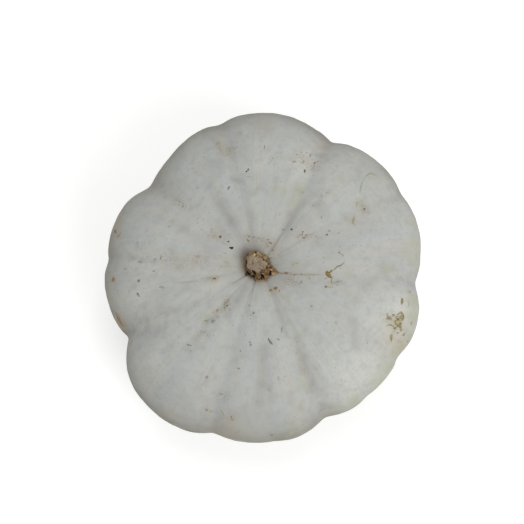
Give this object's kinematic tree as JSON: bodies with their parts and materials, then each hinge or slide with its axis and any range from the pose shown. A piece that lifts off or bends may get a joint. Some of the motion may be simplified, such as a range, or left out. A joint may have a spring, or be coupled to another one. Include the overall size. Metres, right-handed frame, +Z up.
{
  "type": "boer pumpkin",
  "caption": "Flat white pumpkin with deep rounded ribs, dished at the top and underside, with a short cut stem, resting on three pressed lobes.",
  "frame": {"origin": "middle of the box of the underside, on the plane that the three pressed lobes lie on", "axes": "+Z up towards the stem; +X and +Y level, with the picture's right and upper sides towards them"},
  "size_m": [0.2936, 0.31, 0.1354],
  "materials": {
    "rind": "matte pale grey-white rind with a thin waxy bloom",
    "stem_cork": "dry rough cork, brown on the flank and tan-grey on the cut"
  },
  "bodies": {
    "root": {"fruit": "rind", "stem": "stem_cork"}
  },
  "joints": []
}
